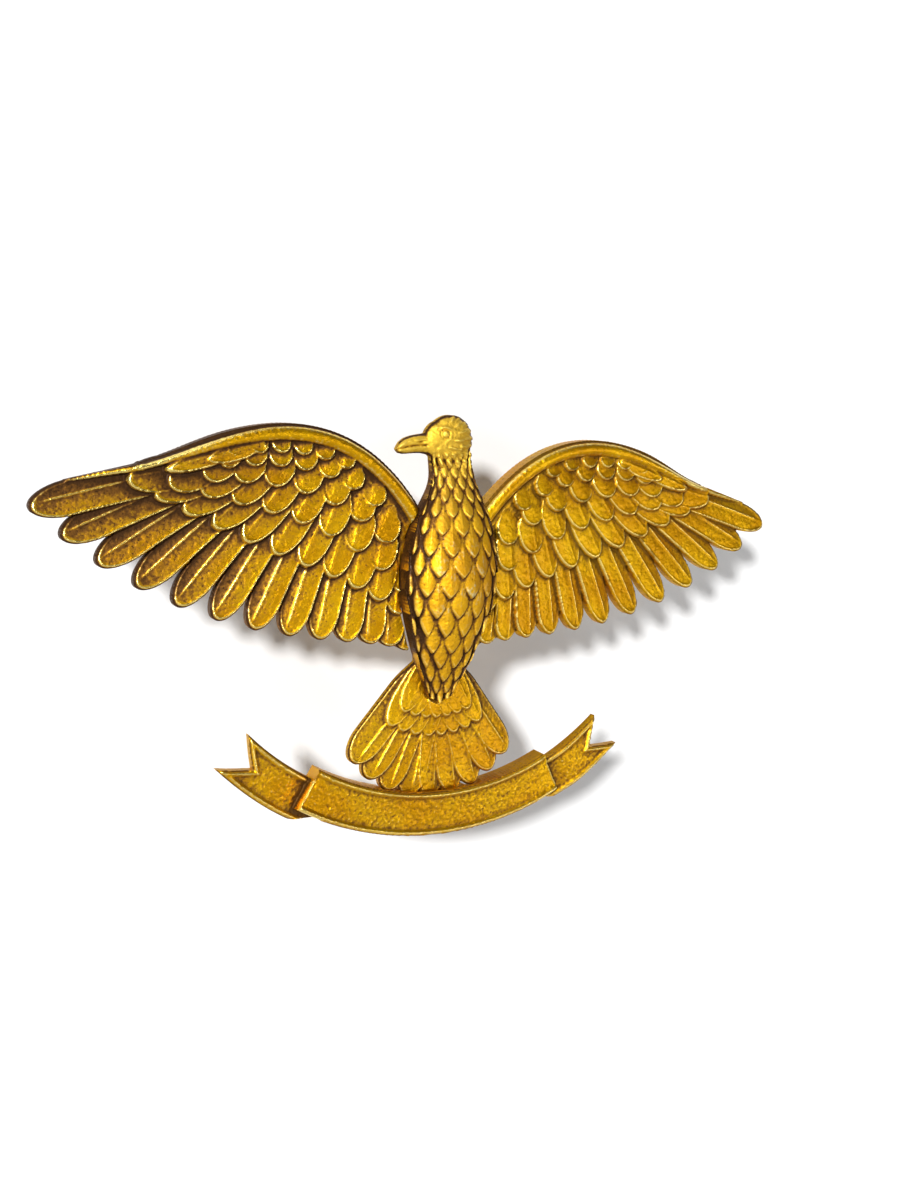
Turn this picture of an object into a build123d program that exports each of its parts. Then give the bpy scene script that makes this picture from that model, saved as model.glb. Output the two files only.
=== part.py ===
"""Cap badge: a soaring sea bird over a plain scroll, struck in gilt brass and fixed by two screw posts.

The bird's wings, tail and body and the scroll are struck separately and pegged to a flat carrier plate.
Two shouldered posts on the back of the plate go through the cap, and a washer and a knurled nut on each
post hold the badge on.

Millimetres. X runs across the badge, Z is up, and the front faces -Y. The origin is midway between the
posts, on the plane where the badge meets the cap.
"""

import os
from math import cos, degrees, radians, sin

from build123d import *

# Levels along Y, from the cap forwards
CAP_FACE = 0.0
FLANGE_THICK = 0.6
CARRIER_THICK = 0.8
PLATE_BACK = CAP_FACE - FLANGE_THICK - CARRIER_THICK
TONGUE_THICK = 1.0
BODY_BACK = PLATE_BACK - TONGUE_THICK

# A feather's width at its root as a share of its widest, and where it first reaches its widest
ROOT_SHARE = 0.6
WIDEST_SHARE = 0.3

# Wings. Each point is (x, z) on the right-hand wing, and the left one is its mirror image.
WING_ARM = [(3.4, -2.6), (9.0, 3.4), (14.0, 6.2), (21.0, 5.7)]
WING_EDGE = [(2.4, 1.2), (7.2, 9.0), (14.0, 11.0), (19.5, 7.3), (25.4, 5.6)]
WING_DROOP, WING_REACH = -93.0, -14.0
FLIGHT_COUNT = 13
FLIGHT_HALF = 1.28
FLIGHT_SHORTEST, FLIGHT_EXTRA, FLIGHT_SWELL = 6.0, 7.0, 1.85
FLIGHT_HEIGHT = 1.1
COVERT_SWELL = 2.2
COVERT_TURN = 6.0
COVERT_LEAD = 0.35
EDGE_HALF = 0.5
EDGE_HEIGHT = 1.8
WING_SEAM = 0.05
TONGUE_Z = -2.2
TONGUE_WIDE, TONGUE_TALL = 4.0, 5.6
TIERS = [
    # share of the way to the leading edge, count, shortest, extra length, half width, height
    (0.08, 11, 3.7, 2.6, 1.35, 1.35),
    (0.36, 10, 3.3, 0.9, 1.30, 1.50),
    (0.62, 9, 2.6, 0.3, 1.20, 1.62),
]

# Tail fan
TAIL_ROOT_Z = -9.2
TAIL_COUNT = 9
TAIL_SPREAD = 38.0
TAIL_LENGTH, TAIL_SIDE_SHORTER = 12.2, 1.2
TAIL_ROOT_SPREAD = 0.5
TAIL_HALF = 1.35
TAIL_HEIGHT = 1.3
TAIL_TONGUE_HALF, TAIL_TONGUE_TALL = 1.6, 3.4

# Body, a half-round form about an upright axis, with the head turned to the left
BODY_AXIS_Y = -1.4
BODY_PROFILE = [(1.1, -12.4), (2.9, -8.2), (4.2, -2.0), (3.5, 2.0), (2.0, 5.8), (1.9, 8.0)]
HEAD_CENTRE = (-0.7, 8.8)
HEAD_RADIUS = 2.35
BILL_LENGTH = 3.9
BILL_DROP = -9.0
BILL_ROOT_RADIUS, BILL_TIP_RADIUS = 1.25, 0.35
BILL_INSIDE = 1.4
BILL_FORWARD = 0.5
BILL_BELOW_HEAD = 0.3
BODY_VENT = 0.6
BODY_CLEARANCE = 0.08

# Scroll, an arc that curves up at its ends
SCROLL_CENTRE_Z = 1.8
SCROLL_RADIUS = 24.2
SCROLL_HALF = 1.85
SCROLL_ANGLE = 28.0
SCROLL_THICK = 2.0
TAIL_POCKET_CLEARANCE = 0.12
RIBBON_ANGLE = 44.0
RIBBON_DROP = 1.0
RIBBON_NOTCH = 2.2
RIBBON_OVERLAP = 5.0
RIBBON_THICK = 1.1

# Carrier plate
POST_SPACING = 28.0
POST_XS = (-POST_SPACING / 2, POST_SPACING / 2)
CARRIER_HALF = 2.6
CARRIER_LUG = 3.6
CARRIER_LEG_HALF = 1.7
FOOT_ANGLE = 16.0
FOOT_HALF = 1.1

# Pegs that hold the struck pieces to the carrier plate
PEG_RADIUS = 0.6
PEG_HEAD_RADIUS = 1.1
PEG_HEAD_THICK = 0.45
PEG_HEAD_ROUND = 0.3
PEG_FIT = 0.02
BODY_PEG_DEPTH = 0.9
PLATE_PEG_DEPTH = 0.6
BODY_PEGS = [(-2.0, -1.4), (2.0, -1.4), (0.0, -9.6)]
WING_PEGS = [(-8.5, 0.0), (8.5, 0.0)]
SCROLL_PEG_ANGLE = 12.0

# Posts, washers and nuts
POST_TENON_RADIUS = 1.9
POST_SHOULDER_RADIUS = 1.5
POST_THREAD_RADIUS = 1.25
POST_SHOULDER = 2.4
POST_THREAD = 6.6
POST_CHAMFER = 0.3
FLANGE_RADIUS = 3.4
WASHER_RADIUS = 5.3
WASHER_THICK = 0.6
WASHER_BORE = 1.35
NUT_RADIUS = 4.5
NUT_THICK = 2.2
NUT_BORE = 1.30
NUT_BOSS_RADIUS = 2.8
NUT_BOSS_THICK = 0.9
KNURL_COUNT = 32
KNURL_RADIUS = 0.16

FRONT = Plane.XZ


def on_bezier(points, t):
    """The point at t on the Bezier curve with these control points."""
    while len(points) > 1:
        points = [
            ((1 - t) * ax + t * bx, (1 - t) * az + t * bz)
            for (ax, az), (bx, bz) in zip(points, points[1:])
        ]
    return points[0]


def between(a, b, share):
    """The point that share of the way from a to b."""
    return a[0] + share * (b[0] - a[0]), a[1] + share * (b[1] - a[1])


def slab(face, back, thick):
    """A flat face on the XZ plane, as a slab from the level back, thick towards the front."""
    return Pos(0, back, 0) * extrude(face, amount=thick)


def rod(x, z, radius, back, front):
    """A round rod along Y."""
    return slab(FRONT * Pos(x, z) * Circle(radius), back, back - front)


def feather(root, angle, length, half, tip=0.7):
    """A feather's outline: narrow at its root, straight sides and an elliptical tip."""
    shoulder = tip * length
    narrow, widest = ROOT_SHARE * half, WIDEST_SHARE * length
    sides = Polyline(
        (shoulder, -half), (widest, -half), (0, -narrow), (0, narrow), (widest, half), (shoulder, half)
    )
    end = EllipticalCenterArc((shoulder, 0), length - shoulder, half, start_angle=-90, arc_size=180)
    return FRONT * Pos(*root) * Rot(0, 0, angle) * make_face(Curve() + [sides, end])


def wing_angle(t):
    """The direction a feather points in, from the body (t = 0) to the wing's tip (t = 1)."""
    return WING_DROOP + (WING_REACH - WING_DROOP) * t**1.5


def flight_feathers():
    """The long feathers that make the wing's outline."""
    faces = []
    for i in range(FLIGHT_COUNT):
        t = i / (FLIGHT_COUNT - 1)
        length = FLIGHT_SHORTEST + FLIGHT_EXTRA * sin(FLIGHT_SWELL * t)
        faces.append(feather(on_bezier(WING_ARM, t), wing_angle(t), length, FLIGHT_HALF))
    return faces


def covert_feathers(share, count, shortest, extra, half):
    """One row of the shorter feathers that overlap the long ones."""
    faces = []
    for i in range(count):
        t = (i + COVERT_LEAD) / (count - COVERT_LEAD)
        root = between(on_bezier(WING_ARM, t), on_bezier(WING_EDGE, t), share)
        length = shortest + extra * sin(COVERT_SWELL * t)
        faces.append(feather(root, wing_angle(t) + COVERT_TURN, length, half, tip=0.5))
    return faces


def joined(faces):
    """Overlapping faces as one."""
    total = faces[0]
    for face in faces[1:]:
        total = total + face
    return total


def body_outline(grow):
    """The body's footprint on the wings and tail, grown by a clearance."""
    right = [(radius + grow, z) for radius, z in BODY_PROFILE]
    left = [(-x, z) for x, z in reversed(right)]
    low = (0, BODY_PROFILE[0][1] - BODY_VENT - grow)
    top = (0, BODY_PROFILE[-1][1] + grow)
    return FRONT * make_face(Spline(low, *right, top, *left, low))


def body_cut():
    """What the wings and the tail leave clear for the body in front of their tongues."""
    return slab(body_outline(BODY_CLEARANCE), BODY_BACK, EDGE_HEIGHT + TONGUE_THICK)


def make_wing():
    """The right-hand wing: flight feathers, rows of coverts, a rounded edge and a root tongue."""
    edge, arm = Bezier(*WING_EDGE), Bezier(*WING_ARM)
    ends = [Line(WING_EDGE[0], WING_ARM[0]), Line(WING_EDGE[-1], WING_ARM[-1])]
    pad = FRONT * make_face(Curve() + [edge, arm, *ends])
    wing = slab(joined(flight_feathers()), PLATE_BACK, FLIGHT_HEIGHT)
    wing += slab(pad, PLATE_BACK, TIERS[-1][-1])
    for share, count, shortest, extra, half, height in TIERS:
        row = joined(covert_feathers(share, count, shortest, extra, half))
        wing += slab(row, PLATE_BACK, height)
    rim = FRONT * trace(edge, line_width=2 * EDGE_HALF)
    wing += slab(rim, PLATE_BACK, EDGE_HEIGHT)
    wing -= body_cut()
    tongue = Rectangle(TONGUE_WIDE, TONGUE_TALL, align=(Align.MIN, Align.CENTER))
    tongue = FRONT * Pos(WING_SEAM, TONGUE_Z) * tongue
    wing += slab(tongue, PLATE_BACK, TONGUE_THICK)
    return wing


def tail_outline(grow):
    """The fan's outline, with each feather grown by a clearance."""
    faces = []
    for i in range(TAIL_COUNT):
        share = 2 * i / (TAIL_COUNT - 1) - 1
        length = TAIL_LENGTH - TAIL_SIDE_SHORTER * share**2 + grow
        root = (TAIL_ROOT_SPREAD * share, TAIL_ROOT_Z)
        faces.append(feather(root, -90 + TAIL_SPREAD * share, length, TAIL_HALF + grow, tip=0.78))
    root = FRONT * Pos(0, TAIL_ROOT_Z) * Rectangle(2 * TAIL_TONGUE_HALF, TAIL_TONGUE_TALL)
    return joined([*faces, root])


def make_tail():
    """The tail fan, with its root under the body and its tips under the scroll."""
    return slab(tail_outline(0), PLATE_BACK, TAIL_HEIGHT) - body_cut()


def make_body():
    """The bird's body, neck, head and bill, cut flat at the back where it lies on the wings."""
    profile = Spline(*BODY_PROFILE)
    low, top = BODY_PROFILE[0], BODY_PROFILE[-1]
    axis = Polyline(top, (0, top[1]), (0, low[1] - BODY_VENT), low)
    section = FRONT * make_face(Curve() + [profile, axis])
    body = Pos(0, BODY_AXIS_Y, 0) * revolve(section, Axis.Z)
    head_x, head_z = HEAD_CENTRE
    body += Pos(head_x, BODY_AXIS_Y, head_z) * Sphere(HEAD_RADIUS)
    on_root = (Align.CENTER, Align.CENTER, Align.MIN)
    bill = Cone(BILL_ROOT_RADIUS, BILL_TIP_RADIUS, BILL_LENGTH, align=on_root)
    bill_start = Pos(head_x - BILL_INSIDE, BODY_AXIS_Y - BILL_FORWARD, head_z - BILL_BELOW_HEAD)
    body += bill_start * Rot(0, -90 + BILL_DROP, 0) * bill
    return split(body, Plane.XZ.offset(-BODY_BACK), keep=Keep.TOP)


def on_scroll(radius, angle):
    """A point on the scroll's fan of radii, with its angle measured from straight down."""
    turn = radians(angle)
    return radius * sin(turn), SCROLL_CENTRE_Z - radius * cos(turn)


def band(radius, half, start, end):
    """A curved strip between two angles, of that mid radius and half height."""
    inner, outer = radius - half, radius + half
    middle = (start + end) / 2
    edges = [
        ThreePointArc(on_scroll(inner, start), on_scroll(inner, middle), on_scroll(inner, end)),
        Line(on_scroll(inner, end), on_scroll(outer, end)),
        ThreePointArc(on_scroll(outer, end), on_scroll(outer, middle), on_scroll(outer, start)),
        Line(on_scroll(outer, start), on_scroll(inner, start)),
    ]
    return FRONT * make_face(Curve() + edges)


def ribbon_end(side):
    """One end of the scroll, which comes out from behind it and finishes in a swallow tail."""
    radius = SCROLL_RADIUS + RIBBON_DROP
    angles = sorted((side * (SCROLL_ANGLE - RIBBON_OVERLAP), side * RIBBON_ANGLE))
    strip = band(radius, SCROLL_HALF, *angles)
    notch_angle = side * (RIBBON_ANGLE - degrees(RIBBON_NOTCH / radius))
    tip = on_scroll(radius, notch_angle)
    beyond = side * (RIBBON_ANGLE + 1)
    corners = [tip, on_scroll(radius - SCROLL_HALF, beyond), on_scroll(radius + SCROLL_HALF, beyond)]
    strip -= FRONT * make_face(Polyline(*corners, close=True))
    inner, outer = SCROLL_RADIUS + SCROLL_HALF, radius + SCROLL_HALF
    start = SCROLL_ANGLE - RIBBON_OVERLAP
    fold = [on_scroll(inner, side * start), on_scroll(outer, side * SCROLL_ANGLE)]
    corner = on_scroll(outer + SCROLL_HALF, side * start)
    return strip - FRONT * make_face(Polyline(*fold, corner, close=True))


def make_scroll():
    """The scroll, with a pocket at the back for the tips of the tail."""
    front = band(SCROLL_RADIUS, SCROLL_HALF, -SCROLL_ANGLE, SCROLL_ANGLE)
    scroll = slab(front, PLATE_BACK, SCROLL_THICK)
    for side in (-1, 1):
        scroll += slab(ribbon_end(side), PLATE_BACK, RIBBON_THICK)
    pocket = slab(tail_outline(TAIL_POCKET_CLEARANCE), PLATE_BACK, TAIL_HEIGHT + TAIL_POCKET_CLEARANCE)
    return scroll - pocket


def make_carrier():
    """The flat plate behind the struck pieces: a bar between the posts, a leg and a curved foot."""
    bar = FRONT * SlotCenterToCenter(POST_SPACING, 2 * CARRIER_HALF)
    lugs = [FRONT * Pos(x, 0) * Circle(CARRIER_LUG) for x in POST_XS]
    leg_tall = SCROLL_RADIUS - SCROLL_CENTRE_Z
    leg = FRONT * Rectangle(2 * CARRIER_LEG_HALF, leg_tall, align=(Align.CENTER, Align.MAX))
    foot = band(SCROLL_RADIUS, FOOT_HALF, -FOOT_ANGLE, FOOT_ANGLE)
    return slab(joined([bar, *lugs, leg, foot]), PLATE_BACK + CARRIER_THICK, CARRIER_THICK)


def peg(x, z, front):
    """A peg from the level front back through the carrier plate, with its head on the plate's back."""
    plate = PLATE_BACK + CARRIER_THICK
    shank = rod(x, z, PEG_RADIUS, plate, front)
    head = rod(x, z, PEG_HEAD_RADIUS, plate + PEG_HEAD_THICK, plate)
    rim = head.edges().filter_by(GeomType.CIRCLE).sort_by(Axis.Y)[-1]
    return shank + fillet(rim, PEG_HEAD_ROUND)


def peg_hole(x, z, front):
    """The hole that a peg goes in."""
    return rod(x, z, PEG_RADIUS + PEG_FIT, PLATE_BACK + CARRIER_THICK, front - PEG_FIT)


def make_post(x):
    """A post: a tenon in its flange, a plain shoulder through the cap and a threaded end."""
    tenon = rod(x, 0, POST_TENON_RADIUS, CAP_FACE, CAP_FACE - FLANGE_THICK)
    shoulder = rod(x, 0, POST_SHOULDER_RADIUS, CAP_FACE + POST_SHOULDER, CAP_FACE)
    tip = CAP_FACE + POST_SHOULDER + POST_THREAD
    thread = rod(x, 0, POST_THREAD_RADIUS, tip, CAP_FACE + POST_SHOULDER)
    end = thread.edges().filter_by(GeomType.CIRCLE).sort_by(Axis.Y)[-1]
    return tenon + shoulder + chamfer(end, POST_CHAMFER)


def ring(x, outer, inner, back, front):
    """A flat ring about a post."""
    return rod(x, 0, outer, back, front) - rod(x, 0, inner, back, front)


def make_flange(x):
    """The disc that spreads a post's load on the carrier plate."""
    return ring(x, FLANGE_RADIUS, POST_TENON_RADIUS + PEG_FIT, CAP_FACE, CAP_FACE - FLANGE_THICK)


def make_washer(x):
    """The washer that presses on the inside of the cap."""
    front = CAP_FACE + POST_SHOULDER
    return ring(x, WASHER_RADIUS, WASHER_BORE, front + WASHER_THICK, front)


def make_nut(x):
    """The thumb nut: a knurled disc with a plain boss."""
    front = CAP_FACE + POST_SHOULDER + WASHER_THICK
    disc = Circle(NUT_RADIUS) - PolarLocations(NUT_RADIUS, KNURL_COUNT) * Circle(KNURL_RADIUS)
    nut = slab(FRONT * Pos(x, 0) * disc, front + NUT_THICK, NUT_THICK)
    nut += rod(x, 0, NUT_BOSS_RADIUS, front + NUT_THICK + NUT_BOSS_THICK, front + NUT_THICK)
    return nut - rod(x, 0, NUT_BORE, front + NUT_THICK + NUT_BOSS_THICK, front)


def drilled(shape, places, front):
    """The shape with a peg hole at each place, as deep as the level front."""
    for x, z in places:
        shape -= peg_hole(x, z, front)
    return shape


def mirrored(shape):
    """The same shape on the left-hand side."""
    return mirror(shape, about=Plane.YZ)


scroll_pegs = [on_scroll(SCROLL_RADIUS, side * SCROLL_PEG_ANGLE) for side in (-1, 1)]
body_peg_front = BODY_BACK - BODY_PEG_DEPTH
plate_peg_front = PLATE_BACK - PLATE_PEG_DEPTH

wing = make_wing()
wing = drilled(wing, [place for place in BODY_PEGS if place[0] > 0], body_peg_front)
wing = drilled(wing, [place for place in WING_PEGS if place[0] > 0], plate_peg_front)

carrier = drilled(make_carrier(), [*BODY_PEGS, *WING_PEGS, *scroll_pegs], PLATE_BACK)

parts = {
    "wing_right": wing,
    "wing_left": mirrored(wing),
    "tail_fan": drilled(make_tail(), BODY_PEGS, body_peg_front),
    "bird_body": drilled(make_body(), BODY_PEGS, body_peg_front),
    "scroll": drilled(make_scroll(), scroll_pegs, plate_peg_front),
    "carrier_plate": carrier,
    "body_pegs": Compound(children=[peg(x, z, body_peg_front) for x, z in BODY_PEGS]),
    "wing_pegs": Compound(children=[peg(x, z, plate_peg_front) for x, z in WING_PEGS]),
    "scroll_pegs": Compound(children=[peg(x, z, plate_peg_front) for x, z in scroll_pegs]),
}
for side, x in zip(("left", "right"), POST_XS):
    parts[f"post_flange_{side}"] = make_flange(x)
    parts[f"post_{side}"] = make_post(x)
    parts[f"washer_{side}"] = make_washer(x)
    parts[f"nut_{side}"] = make_nut(x)

os.makedirs("parts", exist_ok=True)
for name, shape in parts.items():
    export_step(shape, f"parts/{name}.step")
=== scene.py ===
"""Looks for the cap badge: a soaring sea bird over a plain scroll, struck in gilt brass.

The struck pieces are height fields, as a die makes them: each feather raises the surface over its own
outline, and higher feathers hide the roots of lower ones. The posts, nuts, washers and pegs are turned
about their axes. Lengths are millimetres in the CAD's axes (X across, Z up, the front towards -Y), and become
metres as each mesh is made.
"""

from math import atan2, cos, degrees, pi, radians, sin, tau

import bpy
import numpy as np
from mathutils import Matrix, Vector


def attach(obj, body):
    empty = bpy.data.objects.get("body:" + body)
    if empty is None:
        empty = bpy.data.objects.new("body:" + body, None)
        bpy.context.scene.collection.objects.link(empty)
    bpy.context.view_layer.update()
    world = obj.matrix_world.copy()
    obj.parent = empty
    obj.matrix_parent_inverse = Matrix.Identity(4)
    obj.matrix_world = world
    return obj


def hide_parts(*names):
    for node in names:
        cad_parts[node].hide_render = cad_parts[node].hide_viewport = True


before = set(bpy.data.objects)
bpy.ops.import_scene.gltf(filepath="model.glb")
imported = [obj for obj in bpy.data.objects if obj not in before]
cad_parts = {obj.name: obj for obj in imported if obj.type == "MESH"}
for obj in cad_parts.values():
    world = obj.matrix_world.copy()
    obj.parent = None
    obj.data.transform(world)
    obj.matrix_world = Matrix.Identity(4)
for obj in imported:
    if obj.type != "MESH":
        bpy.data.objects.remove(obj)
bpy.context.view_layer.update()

MM = 0.001

# Levels along Y, from the cap forwards
FLANGE_THICK = 0.6
CARRIER_THICK = 0.8
PLATE_BACK = -FLANGE_THICK - CARRIER_THICK
TONGUE_THICK = 1.0
BODY_BACK = PLATE_BACK - TONGUE_THICK

# Wings. Each point is (x, z) on the right-hand wing.
WING_ARM = [(3.4, -2.6), (9.0, 3.4), (14.0, 6.2), (21.0, 5.7)]
WING_EDGE = [(2.4, 1.2), (7.2, 9.0), (14.0, 11.0), (19.5, 7.3), (25.4, 5.6)]
WING_DROOP, WING_REACH = -93.0, -14.0
FLIGHT_COUNT = 13
FLIGHT_HALF = 1.28
FLIGHT_SHORTEST, FLIGHT_EXTRA, FLIGHT_SWELL = 6.0, 7.0, 1.85
COVERT_SWELL, COVERT_TURN, COVERT_LEAD = 2.2, 6.0, 0.35
EDGE_HALF = 0.5
WING_SEAM = 0.05
TONGUE_Z = -2.2
TONGUE_WIDE, TONGUE_TALL = 4.0, 5.6
# share of the way to the leading edge, count in a full row, shortest, extra length, half width, height,
# the first one made, and the one after the last
COVERTS = [
    (0.08, 11, 3.7, 2.6, 1.35, 0.82, 0, 11),
    (0.36, 10, 3.3, 0.9, 1.30, 0.95, 0, 9),
    (0.62, 10, 2.6, 0.3, 1.20, 1.06, 1, 8),
    (0.82, 12, 1.9, 0.1, 1.00, 1.15, 2, 9),
    (0.97, 14, 1.5, 0.0, 0.85, 1.22, 4, 10),
]
COVERT_ROWS_WITH_SHAFTS = 2
# share of the way along the leading edge, and length
ALULA = [(0.71, 5.4), (0.62, 4.6)]
ALULA_BELOW_EDGE = 0.75
SKIN_ROOT, SKIN_RISE, SKIN_TIP_LOSS = 0.62, 0.63, 0.42
BEAD_HEIGHT, BEAD_DROP = 1.80, 0.5
FINGER_BEAD_HEIGHT, FINGER_BEAD_FALL, FINGER_BEAD_DROP = 1.36, 0.68, 0.3
FINGER_BEAD_HALF, FINGER_BEAD_THINNER, FINGER_BEAD_LENGTH = 0.28, 0.19, 9.8

# Tail fan
TAIL_ROOT_Z = -9.2
TAIL_COUNT = 9
TAIL_SPREAD = 38.0
TAIL_LENGTH, TAIL_SIDE_SHORTER = 12.2, 1.2
TAIL_ROOT_SPREAD = 0.5
TAIL_HALF = 1.35
TAIL_HEIGHT = 1.3
TAIL_TONGUE_HALF, TAIL_TONGUE_TALL = 1.6, 3.4
# count, spread in degrees, length, half width, height
TAIL_COVERTS = [(8, 33, 6.9, 1.15, 0.72), (7, 29, 5.3, 0.98, 0.82)]

# Body and head
BODY_PROFILE = [(1.1, -12.4), (2.9, -8.2), (4.2, -2.0), (3.5, 2.0), (2.0, 5.8), (1.9, 8.0)]
BODY_VENT = 0.6
BODY_CLEARANCE = 0.08
BODY_RIM = 0.28
BODY_DOME_CUT, BODY_DOME_EASE, BODY_DOME_POWER = 1.34, 0.6, 0.68
# height on the body, and the size of its feathers there
SCALE_SIZES = [(-12, 0.72), (-8, 1.00), (-3, 1.22), (2.0, 1.10), (5.5, 0.66), (8.3, 0.42)]
SCALES_TOP, SCALES_END = 8.3, -11.9
SCALE_ARC, SCALE_ARC_LIMIT = 3.0, 1.54
SCALE_SPACING, SCALE_ROW_STEP = 1.72, 1.38
SCALE_LENGTH, SCALE_WIDTH = 2.75, 1.62
HEAD_CENTRE = (-0.7, 8.8)
BILL_TIP = -5.30

# Scroll
SCROLL_CENTRE_Z = 1.8
SCROLL_RADIUS = 24.2
SCROLL_HALF = 1.85
SCROLL_ANGLE = 28.0
SCROLL_THICK = 2.0
SCROLL_FLAT_HALF = 7.5
TAIL_POCKET_CLEARANCE = 0.12
RIBBON_ANGLE = 44.0
RIBBON_DROP = 1.0
RIBBON_NOTCH = 2.2
RIBBON_OVERLAP = 5.0
RIBBON_THICK = 1.1

# Carrier plate
POST_SPACING = 28.0
CARRIER_HALF = 2.6
CARRIER_LUG = 3.6
CARRIER_LEG_HALF = 1.7
FOOT_ANGLE = 16.0
FOOT_HALF = 1.1

# Pegs
PEG_RADIUS = 0.6
PEG_HEAD_RADIUS = 1.1
PEG_HEAD_THICK = 0.45
BODY_PEG_DEPTH = 0.9
PLATE_PEG_DEPTH = 0.6
BODY_PEGS = [(-2.0, -1.4), (2.0, -1.4), (0.0, -9.6)]
WING_PEGS = [(-8.5, 0.0), (8.5, 0.0)]
SCROLL_PEG_ANGLE = 12.0

# Posts, washers and nuts
POST_TENON_RADIUS = 1.9
POST_SHOULDER_RADIUS = 1.5
POST_THREAD_RADIUS = 1.25
POST_SHOULDER = 2.4
POST_THREAD = 6.6
POST_UNDERCUT_RADIUS = 1.04
POST_POINT = 0.42
THREAD_PITCH = 0.45
THREAD_DEPTH = 0.2
FLANGE_RADIUS, SOLDER_WIDTH = 3.4, 0.37
WASHER_RADIUS, WASHER_THICK, WASHER_BORE = 5.3, 0.6, 1.35
NUT_RADIUS, NUT_THICK, NUT_BORE = 4.5, 2.2, 1.30
NUT_BOSS_RADIUS, NUT_BOSS_THICK = 2.8, 0.9
NUT_THREAD_DEPTH = 0.15
KNURL_COUNT = 32
KNURL_INSET, KNURL_LEAN, KNURL_DEPTH = 0.32, 1.9, 0.16
ON_AXIS = 0.02  # the radius that stands for 0 where a turned piece closes

OUTSIDE = -9.0
ROOT_WIDTH = 0.6  # a feather's width at its root, as a share of its full width
RIM_IN = 0.12  # how far in from a feather's edge its rim stands
TOP_OF_TONGUE = TONGUE_THICK - 0.02
EVERYWHERE = (slice(None), slice(None))


def smooth(low, high, x):
    """0 below low, 1 above high, and an S-curve between."""
    t = np.clip((x - low) / (high - low), 0, 1)
    return t * t * (3 - 2 * t)


def bump(x, centre, width):
    """A bell of height 1."""
    return np.exp(-(((x - centre) / width) ** 2))


def on_bezier(points, t):
    """The point at t on the Bezier curve with these control points."""
    points = [np.array(p, float) for p in points]
    while len(points) > 1:
        points = [(1 - t) * a + t * b for a, b in zip(points, points[1:])]
    return points[0]


def wing_angle(t):
    """The direction a feather points in, from the body (t = 0) to the wing's tip (t = 1)."""
    return WING_DROOP + (WING_REACH - WING_DROOP) * t**1.5


def on_scroll(radius, angle):
    """A point on the scroll's fan of radii, with its angle measured from straight down."""
    turn = radians(angle)
    return radius * sin(turn), SCROLL_CENTRE_Z - radius * cos(turn)


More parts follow.
